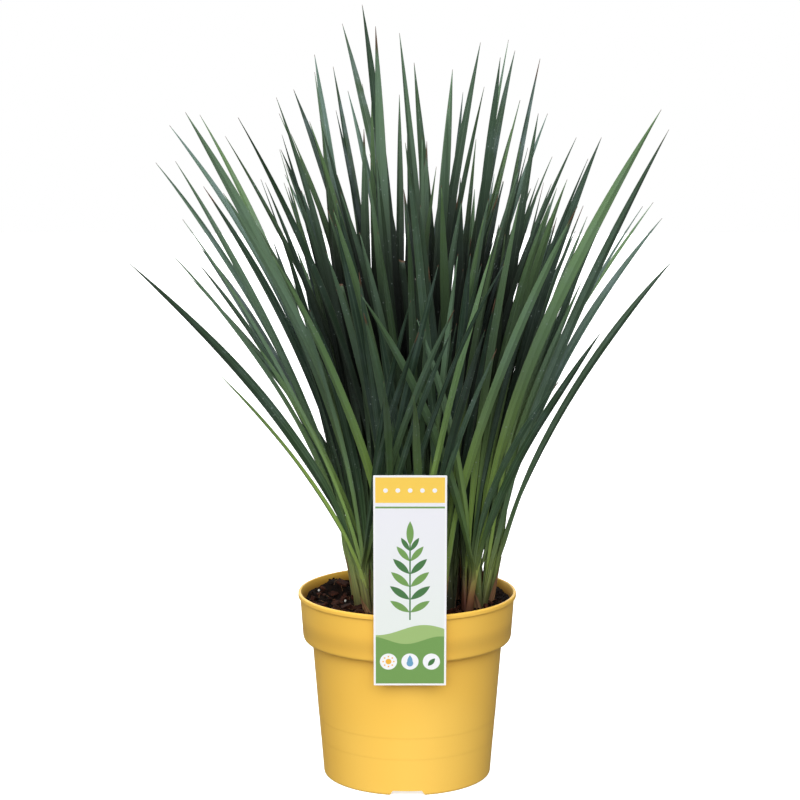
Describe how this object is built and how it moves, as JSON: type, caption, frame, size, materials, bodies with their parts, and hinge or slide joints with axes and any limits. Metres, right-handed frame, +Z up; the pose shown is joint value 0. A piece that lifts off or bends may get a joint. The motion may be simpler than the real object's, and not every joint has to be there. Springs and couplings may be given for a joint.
{
  "type": "potted blue flax lily",
  "caption": "Clump of long blue-green strap leaves in a round yellow nursery pot of bark potting mix, with a folded plant label over the rim.",
  "frame": {"origin": "middle of the face that the pot stands on", "axes": "+Z up along the pot's axis, -Y towards the side with the plant label, +X to the right when the label is faced"},
  "size_m": [0.408, 0.393, 0.5931],
  "materials": {
    "pot": "satin",
    "potting_mix": "matte",
    "label": "satin",
    "leaf": "satin"
  },
  "bodies": {
    "root": {"pot": "pot", "soil": "potting_mix", "label": "label", "shoot_01": "leaf", "shoot_02": "leaf", "shoot_03": "leaf", "shoot_04": "leaf", "shoot_05": "leaf", "shoot_06": "leaf", "shoot_07": "leaf", "shoot_08": "leaf", "shoot_09": "leaf", "shoot_10": "leaf", "shoot_11": "leaf", "shoot_12": "leaf", "shoot_13": "leaf", "shoot_14": "leaf", "shoot_15": "leaf", "shoot_16": "leaf", "shoot_17": "leaf", "shoot_18": "leaf", "shoot_19": "leaf", "shoot_20": "leaf", "shoot_21": "leaf", "shoot_22": "leaf", "shoot_23": "leaf", "shoot_24": "leaf", "shoot_25": "leaf", "shoot_26": "leaf", "shoot_27": "leaf", "shoot_28": "leaf"}
  },
  "joints": []
}
